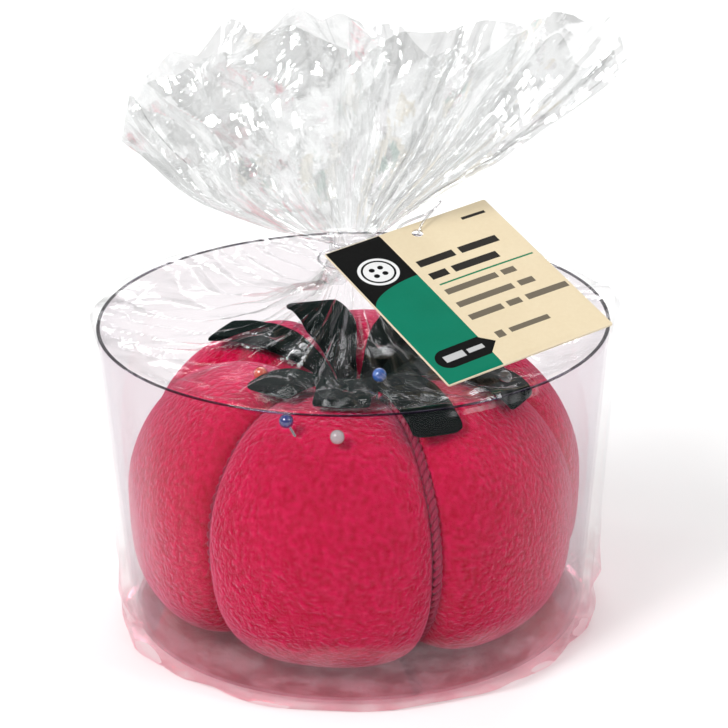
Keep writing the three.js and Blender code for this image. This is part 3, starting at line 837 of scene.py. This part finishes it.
def folded_body():
    rings = body_rings()
    normal = outward_of(rings)
    r, z = body_r[:, None], body_z[:, None]
    on_wall = between(z, 0.5, 6) * (r > 60)
    on_shoulder = between(70 - r, 0, 6) * (z > 80)
    turn_round = azimuth[None, :]
    flap = sum(height * np.exp(-(((turn_round - middle) / half) ** 2)) for middle, half, height in FLAPS)
    foot = between(z, 0.0, 1.5) * (1 - between(z, 5, 26)) * (r > 60)
    front = np.cos(np.radians(turn_round)) > 0.2
    small = facets(rings * (1, 1, 0.35), 17 * MM, 5)
    at_foot = foot * (1.2 + 1.3 * front + 1.6 * facets(rings, 14 * MM, 6))
    wall = on_wall * (0.25 + 0.5 * small) + on_wall * flap * (1 - 0.3 * small) + at_foot
    pleat_turns = turn_round / 360 * PLEATS + 1.3 * drift(rings / (MM * 60), 1, 8) * between(r, 8, 60)
    broad_turns = turn_round / 360 * BROAD_PLEATS + 0.9 * np.sin(np.radians(turn_round * 2 + 40))
    near_neck = (1 - between(r, 12, 68)) ** 0.6
    pleats = (triangle_wave(pleat_turns) ** 1.3) * (2.2 * near_neck + 0.3)
    broad = triangle_wave(broad_turns) * (1.9 * near_neck + 0.7)
    crumple = 0.6 * facets(rings, 17 * MM, 11) + 0.25 * facets(rings, 7 * MM, 12)
    shoulder = -on_shoulder * (pleats + broad) * between(r, 6, 12)
    shoulder = shoulder + on_shoulder * np.minimum(crumple, 0.5) * between(r, 9, 20)
    neck = -0.9 * (r < 14) * (z > 88) * triangle_wave(turn_round / 360 * NECK_PLEATS)
    offset = np.maximum(wall, 0.0) + shoulder + neck
    offset = np.where(offset < 0, offset * pin_room(rings), offset)
    return rings + normal * (offset * MM)[..., None]


body_sheet = folded_body()
print("bag body", body_sheet.shape[0] * body_sheet.shape[1], "points")

# %% [markdown]
# ## The ruffle
# Above the neck the film opens into a wide flat fan. Its mouth has an uneven edge, given as azimuths and
# heights in millimetres. Low down the pleats fold inwards only, so that the tag can swing past them, and
# near the mouth they may stand up to 4 mm further out than the solid.

# %% Ruffle
MOUTH_EDGE = np.array([(-180, 152), (-150, 163), (-120, 148), (-90, 134), (-62, 147), (-35, 160),
                       (-8, 171), (8, 161), (24, 156), (40, 167), (66, 164), (90, 152), (120, 151),
                       (150, 163), (180, 152)])
MOUTH_HALF, MOUTH_CENTRE, MOUTH_DEEP = 67 * MM, 5.5 * MM, 17 * MM
RUFFLE_ROWS = 170
MOUTH_JAGS, RUFFLE_PLEATS, FINE_PLEATS = 23, 13, 41


def ruffle_rings():
    v = np.linspace(0, 1, RUFFLE_ROWS)[:, None]
    a = az[None, :]
    to_right = (1 + np.sin(a)) / 2
    spread = v ** (0.62 + 0.28 * to_right)
    edge = np.interp(azimuth, MOUTH_EDGE[:, 0], MOUTH_EDGE[:, 1])
    jag = 3.2 * (triangle_wave(azimuth / 360 * MOUTH_JAGS + 0.4 * np.sin(a[0] * 3)) - 0.5)
    jag = jag + 1.8 * np.sin(a[0] * 17 + 1)
    top = (edge + jag)[None, :] * MM
    across = (NECK_R + (MOUTH_HALF - NECK_R) * spread) * np.sin(a) + MOUTH_CENTRE * spread
    deep = (NECK_R + (MOUTH_DEEP - NECK_R) * v) * np.cos(a)
    height = NECK_TOP + (top - NECK_TOP) * v ** (1.35 - 0.35 * to_right)
    plain = np.stack(np.broadcast_arrays(across, NECK_Y - deep, height), -1)
    wander = 0.35 * drift(plain / (MM * 70), 1, 21) * v
    pleat = triangle_wave(azimuth[None, :] / 360 * RUFFLE_PLEATS + wander)
    fine = triangle_wave(azimuth[None, :] / 360 * FINE_PLEATS + 2.2 * wander)
    fold_in = np.clip((0.6 * pleat + 0.2 * fine * (1 - 0.85 * v)) * between(v, 0, 0.25), 0, 0.85)
    folded = plain.copy()
    folded[..., 1] = NECK_Y + (plain[..., 1] - NECK_Y) * (1 - fold_in)
    loose = between(v, 0.12, 0.6)
    folded[..., 0] += (pleat - 0.5) * 2.6 * MM * np.cos(a) * loose
    fan = np.stack(np.broadcast_arrays(np.cos(a) * 1.2, np.sin(a) * 1.2, v * 0.55), -1)
    for axis, size, amount, seed in ((0, 0.9, 2.2, 31), (1, 0.75, 6.5, 32), (2, 0.9, 2.2, 33),
                                     (1, 0.3, 2.0, 35)):
        folded[..., axis] += facets(fan, size, seed, 3) * amount * MM * loose
    for axis, size, amount, seed in ((1, 26, 2.4, 37), (1, 12, 0.9, 38), (0, 22, 1.2, 39)):
        folded[..., axis] += facets(plain, size * MM, seed, 4) * amount * MM * loose
    reach = np.abs(plain[..., 1] - NECK_Y) + 4 * MM * between(v, 0.6, 0.9)
    folded[..., 1] = NECK_Y + np.clip(folded[..., 1] - NECK_Y, -reach, reach)
    tuck = 0.16 * between(v, 0, 0.02) * (1 - between(v, 0.12, 0.45))
    folded[..., 0] *= 1 - tuck
    folded[..., 1] = NECK_Y + (folded[..., 1] - NECK_Y) * (1 - tuck)
    return folded


ruffle_sheet = ruffle_rings()
bag_sheet = np.concatenate([body_sheet, ruffle_sheet[1:]])

# %% Film finish and the bag
def film_zones(f, streaks, body_colour):
    """Gathered film is many sheets thick, so it turns milky from the neck up. Crinkled film at the foot is
    tinted crimson, a painted reflection of the cushion above it."""
    height = f.place.dot((0, 0, 1))
    across, deep = f.place.dot((1, 0, 0)), f.place.dot((0, 1, 0)) - NECK_Y
    turn_round = deep.math("ARCTAN2", across)
    away = (across * across + deep * deep) ** 0.5
    fan = f.node("ShaderNodeCombineXYZ", {}, {0: turn_round * 8, 1: away * 22, 2: height * 22})
    creases = ((f.noise(1.0, 3, 0.6, fan) - 0.53) * 7).clamp()
    gathered = ((height - 0.094) * 60).clamp()
    foot = (1 - height / 0.02).clamp() ** 0.7
    crinkle = ((f.noise(95, 3, 0.6, f.place.scaled((1, 1, 2.2))) - 0.42) * 5).clamp()
    # The crimson at the foot is a painted reflection of the cushion above it.
    colour = f.mix(foot * 0.9, body_colour, (1.0, 0.32, 0.45))
    shoulder = (height > RIM_Z - 2 * MM) * creases
    colour = f.mix(gathered * 0.55, colour, (0.55, 0.57, 0.56))
    return gathered * (streaks * 0.22 + 0.16) + foot * (crinkle * 0.2 + 0.14) + shoulder * 0.2, colour


FILM = clear_finish("film", (0.975, 0.978, 0.975), 0.007, 4.2, 0.07, 220, 0.65, film_zones)
points = bag_sheet.reshape(-1, 3)
faces = [face[::-1] for face in grid_faces(len(bag_sheet), BAG_COLUMNS, wrap=True)]
make_piece("crisp_bag", points, faces, FILM, "packed_cushion", ["film_bag", "bag_ruffle"],
           smooth=False)
print("bag", len(points), "points")

# %% [markdown]
# ## The hang tag
# The card is die cut with a punched hole and bows very slightly. Its print is drawn by the finish from
# the distance across and down the card: a black panel over a green one, a cream field, a thin rule, a
# pointed label and plain bars where words would be. The picture of a sewing button marks the panel.

# %% Tag frame and print
tag_points = np.array([v.co for v in frame["nodes"]["hang_tag"].data.vertices])
lift = JOINTS["tag_lift"]
TAG_RIGHT = -Vector(lift["axis"]).normalized()
TAG_SIZE = (51 * MM, 60 * MM)
TAG_HOLE = (26.5 * MM, 4.4 * MM, 1.6 * MM)
centred = tag_points - tag_points.mean(axis=0)
_, _, directions = np.linalg.svd(centred, full_matrices=False)
TAG_FACE = Vector(directions[2]) * (1 if directions[2][2] > 0 else -1)
TAG_UP = TAG_FACE.cross(TAG_RIGHT).normalized()
reach_right, reach_up, reach_face = (tag_points @ np.array(d) for d in (TAG_RIGHT, TAG_UP, TAG_FACE))
TAG_CORNER = (TAG_RIGHT * reach_right.min() + TAG_UP * reach_up.max()
              + TAG_FACE * (reach_face.min() + reach_face.max()) / 2)
print("tag", round((reach_right.max() - reach_right.min()) / MM, 1), "by",
      round((reach_up.max() - reach_up.min()) / MM, 1), "mm")

# %% Card print
PER_METRE = 1000
PANEL_WIDE = 16.8
BUTTON = (8.5, 13.4)
WORDS = [(19.2, 30.5, 16, 1.35), (32.3, 44.4, 16, 1.35), (19.3, 24.6, 21.9, 1.35), (26.4, 40.6, 21.9, 1.35),
         (40.5, 48, 4.6, 0.55)]
LIGHT_WORDS = [(19.4, 35.4, 29.2, 1.1), (37, 41.2, 29.2, 1.1), (19.2, 36.6, 35, 1.1), (38.4, 43.2, 35, 1.1),
               (19.2, 29.4, 40.7, 1.1), (31, 35.2, 40.7, 1.1), (37, 50, 40.7, 1.1), (21.4, 23.8, 49.7, 1.3),
               (25.6, 37.8, 49.7, 0.9)]
LABEL_WORDS = [(4.4, 10.4, 51.4, 1.2), (11.4, 16.2, 51.4, 0.8)]


def card_finish():
    """Distances are in millimetres from the card's top left corner. A bar has its two ends, the middle of
    its height and half its height."""
    f = Finish("printed_card")
    across = (f.place.dot(tuple(TAG_RIGHT)) - TAG_CORNER.dot(TAG_RIGHT)) * PER_METRE
    down = (TAG_CORNER.dot(TAG_UP) - f.place.dot(tuple(TAG_UP))) * PER_METRE
    front = f.node("ShaderNodeNewGeometry", {}, {}, out="True Normal").dot(tuple(TAG_FACE)) > 0.5

    def band(x, low, high):
        return (x > low) * (x < high)

    def bar(x0, x1, y, half):
        return band(across, x0, x1) * band(down, y - half, y + half)

    def bars(rows):
        made = [bar(*row) for row in rows]
        return sum(made[1:], made[0])

    def disc(x, y, r):
        return ((across - x) * (across - x) + (down - y) * (down - y)) < r * r

    panel = across < PANEL_WIDE
    arc = (1 - across / PANEL_WIDE).clamp()
    black = panel * (down < 26.6 - 7.2 * ((1 - arc * arc).clamp() ** 0.5))
    rule = bar(19.6, 49.2, 25.8, 0.3)
    nose = band(across, 16.4, 20) * ((down - 51.4).math("ABSOLUTE") < (20 - across))
    label = (bar(5.6, 16.5, 51.4, 3.6) + disc(5.6, 51.4, 3.6) + nose).clamp()
    ring = disc(*BUTTON, 5.6) * (1 - disc(*BUTTON, 4.7)) + disc(*BUTTON, 4.1)
    holes = disc(7.2, 12.1, 0.8) + disc(9.8, 12.1, 0.8) + disc(7.2, 14.7, 0.8) + disc(9.8, 14.7, 0.8)
    button = (ring - holes).clamp()
    fibre = f.noise(900, 4, 0.6)
    tone = f.noise(60)
    cream = f.mix((fibre * 0.5 + tone * 0.5).clamp(), (0.70, 0.57, 0.37), (0.82, 0.71, 0.51))
    green = f.mix(tone, (0.0, 0.15, 0.08), (0.0, 0.22, 0.135))
    colour = f.mix(panel, cream, green)
    colour = f.mix(black.clamp(), colour, (0.001, 0.001, 0.001))
    colour = f.mix(rule, colour, (0.01, 0.2, 0.09))
    colour = f.mix(bars(WORDS).clamp(), colour, (0.02, 0.017, 0.014))
    colour = f.mix((bars(LIGHT_WORDS) * 0.85).clamp(), colour, (0.05, 0.042, 0.035))
    colour = f.mix(label, colour, (0.001, 0.001, 0.001))
    colour = f.mix((bars(LABEL_WORDS) * 0.75).clamp(), colour, (0.7, 0.7, 0.7))
    colour = f.mix(button, colour, (0.8, 0.8, 0.8))
    worn = band(across, 0.25, 50.75) * band(down, 0.25, 59.75)
    colour = f.mix(worn * front, (0.74, 0.64, 0.47), colour)
    return f.finished(f.principled(base_color=colour, roughness=fibre * 0.15 + 0.6, specular_ior_level=0.12,
                                   normal=f.bump(fibre, 0.00005, 0.4)))

# %% Tag card
def card_outline(corner=0.6 * MM, steps_each=4):
    wide, tall = TAG_SIZE
    out = []
    for cx, cy, start in ((wide - corner, corner, -90), (wide - corner, tall - corner, 0),
                          (corner, tall - corner, 90), (corner, corner, 180)):
        for a in np.radians(np.linspace(start, start + 90, steps_each + 1)):
            out.append((cx + corner * math.cos(a), cy + corner * math.sin(a)))
    return out


def card_mesh():
    """The card's flat shape with its hole, filled with a grid so that it can bow."""
    outline = card_outline()
    x, y, r = TAG_HOLE
    hole = [(x + r * math.cos(a), y + r * math.sin(a)) for a in all_round(32)]
    inside = [(a, b) for a in np.linspace(2 * MM, TAG_SIZE[0] - 2 * MM, 17)
              for b in np.linspace(2 * MM, TAG_SIZE[1] - 2 * MM, 20) if math.hypot(a - x, b - y) > 1.4 * r]
    flat = [Vector(p) for p in outline + hole + inside]
    first, second = len(outline), len(hole)
    loops = [list(range(first)), list(range(first, first + second))]
    made = geometry.delaunay_2d_cdt(flat, [], loops, 1, 1e-9)
    spots = np.array([tuple(p) for p in made[0]])
    triangles = [f for f in made[2] if math.hypot(*(spots[list(f)].mean(axis=0) - (x, y))) > r * 0.98]
    return spots, triangles


CARD_THICK = 0.45 * MM
BOW_ACROSS, BOW_DOWN = 0.35 * MM, 0.2 * MM
spots, triangles = card_mesh()
arch_across, arch_down = (np.sin(np.pi * spots[:, k] / TAG_SIZE[k]) for k in (0, 1))
bow = BOW_ACROSS * arch_across + BOW_DOWN * arch_down


def on_tag(x, y, z):
    return np.array(TAG_CORNER) + np.outer(x, TAG_RIGHT) - np.outer(y, TAG_UP) + np.outer(z, TAG_FACE)


top_side = on_tag(spots[:, 0], spots[:, 1], bow + CARD_THICK / 2)
under_side = on_tag(spots[:, 0], spots[:, 1], bow - CARD_THICK / 2)
faces = []
for a, b, c in triangles:
    area = np.cross(spots[b] - spots[a], spots[c] - spots[a])
    a, b, c = (a, c, b) if area > 0 else (a, b, c)
    faces += [[a, b, c], [c + len(spots), b + len(spots), a + len(spots)]]
edges = {}
for face in faces[::2]:
    for a, b in zip(face, face[1:] + face[:1]):
        edges[(a, b)] = edges.get((a, b), 0) + 1
for a, b in edges:
    if (b, a) not in edges:
        faces.append([b, a, a + len(spots), b + len(spots)])
card = make_piece("tag_card", np.concatenate([top_side, under_side]), faces, card_finish(), "tag",
                  ["hang_tag"], smooth=False)

# %% [markdown]
# ## The loop
# The tag hangs on a loop of clear nylon. It runs from its lock behind the neck, round the neck, up
# through the hole, over the top of the card and back. Its route is the solid loop's route.

# %% Loop
LOOP_Z = 98.6 * MM
LOOP_ROUND = 9.2 * MM
NYLON_R = 0.36 * MM
LOCK_HALF = 1.1 * MM


def round_neck(azimuth_now, z=LOOP_Z, r=LOOP_ROUND):
    return polar(r, azimuth_now, z) + (0, NECK_Y, 0)


def tag_spot(x, y, z):
    return on_tag([x * MM], [y * MM], [z * MM])[0]


hole_x, hole_y = TAG_HOLE[0] / MM, TAG_HOLE[1] / MM
loop_route = [
    round_neck(170), round_neck(205), round_neck(240), round_neck(275), round_neck(310), round_neck(345),
    round_neck(20, r=10 * MM), tag_spot(hole_x - 2, hole_y + 0.8, -6), tag_spot(hole_x - 0.4, hole_y, -2.5),
    tag_spot(hole_x + 0.2, hole_y, 0), tag_spot(hole_x + 2.5, hole_y - 1.5, 2.2),
    tag_spot(hole_x + 8, 0.2, 3.2), tag_spot(hole_x + 12, -3, 1.8), tag_spot(hole_x + 10, -5, -2.5),
    tag_spot(hole_x + 2, -7, -6), round_neck(95, LOOP_Z + MM, 11 * MM), round_neck(130, r=9.6 * MM),
    round_neck(163),
]
line = spline(loop_route, np.linspace(0, 1, 240))
NYLON = clear_finish("nylon", (0.9, 0.9, 0.9), 0.28, 3.0, 0.15, 900, 0.9)
lock_centre = round_neck(166.5, r=LOOP_ROUND + 0.2 * MM)
lock_along = round_neck(171.5) - round_neck(161.5)
lock_along /= np.linalg.norm(lock_along)
lock_out = np.cross(lock_along, (0, 0, 1))
square = rounded_box(24, 0.4, 0.4)
lock_rows = [(-1.5, 0.7), (-1.35, 0.95), (-1, 1), (1, 1), (1.35, 0.95), (1.5, 0.7)]
lock_grid = np.array([lock_centre + along * MM * lock_along
                      + size * LOCK_HALF * (square[:, :1] * lock_out + square[:, 1:] * (0, 0, 1))
                      for along, size in lock_rows])
points, faces = joined(sweep(line, NYLON_R, 12), closed_grid(lock_grid))
make_piece("nylon_loop", points, faces, NYLON, "loop", ["tag_loop"])

# %% [markdown]
# ## Floor and light
# A pale floor and soft light from large panels, as in a small product studio. Film and clear plastic
# show only what they reflect, so the room is not evenly white: it is brightest overhead and dark low
# down, with panels all round, which draws the folds in grey.

# %% Floor
def floor_finish():
    f = Finish("pale_floor")
    grain = f.noise(30)
    colour = f.mix(grain, (0.93, 0.93, 0.93), (0.95, 0.95, 0.95))
    return f.finished(f.principled(base_color=colour, roughness=0.9, specular_ior_level=0.1,
                                   emission_color=(1, 1, 1, 1), emission_strength=0.10))


floor_mesh = bpy.data.meshes.new("floor")
FLOOR_HALF = 4.0
FLOOR_GAP = 0.3 * MM
corners = [(x * FLOOR_HALF, y * FLOOR_HALF, -FLOOR_GAP) for x, y in ((-1, -1), (1, -1), (1, 1), (-1, 1))]
floor_mesh.from_pydata(corners, [], [(0, 1, 2, 3)])
floor = add_object("floor", floor_mesh)
floor.data.materials.append(floor_finish())

# %% Light
AIM = Vector((0, 0, 0.07))
PANELS = {
    "key": ((-0.75, -0.75, 1.05), (0.5, 0.4), 14),
    "fill": ((0.95, -0.55, 0.75), (0.3, 0.5), 3.5),
    "back": ((0.15, 1.0, 0.9), (1.0, 0.3), 6),
    "side_strip": ((-1.0, 0.35, 0.35), (0.12, 0.8), 1.5),
    "right_strip": ((1.0, 0.3, 0.4), (0.1, 0.8), 1.5),
}
for name, (place, size, power) in PANELS.items():
    light = bpy.data.lights.new(name, "AREA")
    light.shape = "RECTANGLE"
    light.size, light.size_y = size
    light.energy = power
    panel = add_object(name, light)
    panel.location = place
    panel.rotation_mode = "QUATERNION"
    panel.rotation_quaternion = (AIM - Vector(place)).to_track_quat("-Z", "Y")

# %% Sky
SKY_STOPS = [(0.0, 0.1), (0.5, 0.1), (0.62, 0.25), (1.0, 0.5)]
sky = Finish("studio", bpy.data.worlds)
direction = sky.node("ShaderNodeTexCoord", {}, {}, out="Generated")
upward = sky.node("ShaderNodeSeparateXYZ", {}, {0: direction}, out="Z")
share = sky.node("ShaderNodeMapRange", {}, {"Value": upward, "From Min": -1})
shade = sky.node("ShaderNodeBackground", {}, {"Color": sky.grey_ramp(share, SKY_STOPS)})

scene = bpy.context.scene
scene.world = sky.finished(shade, "ShaderNodeOutputWorld")
scene.view_settings.view_transform = "Standard"
scene.cycles.transparent_max_bounces = 40
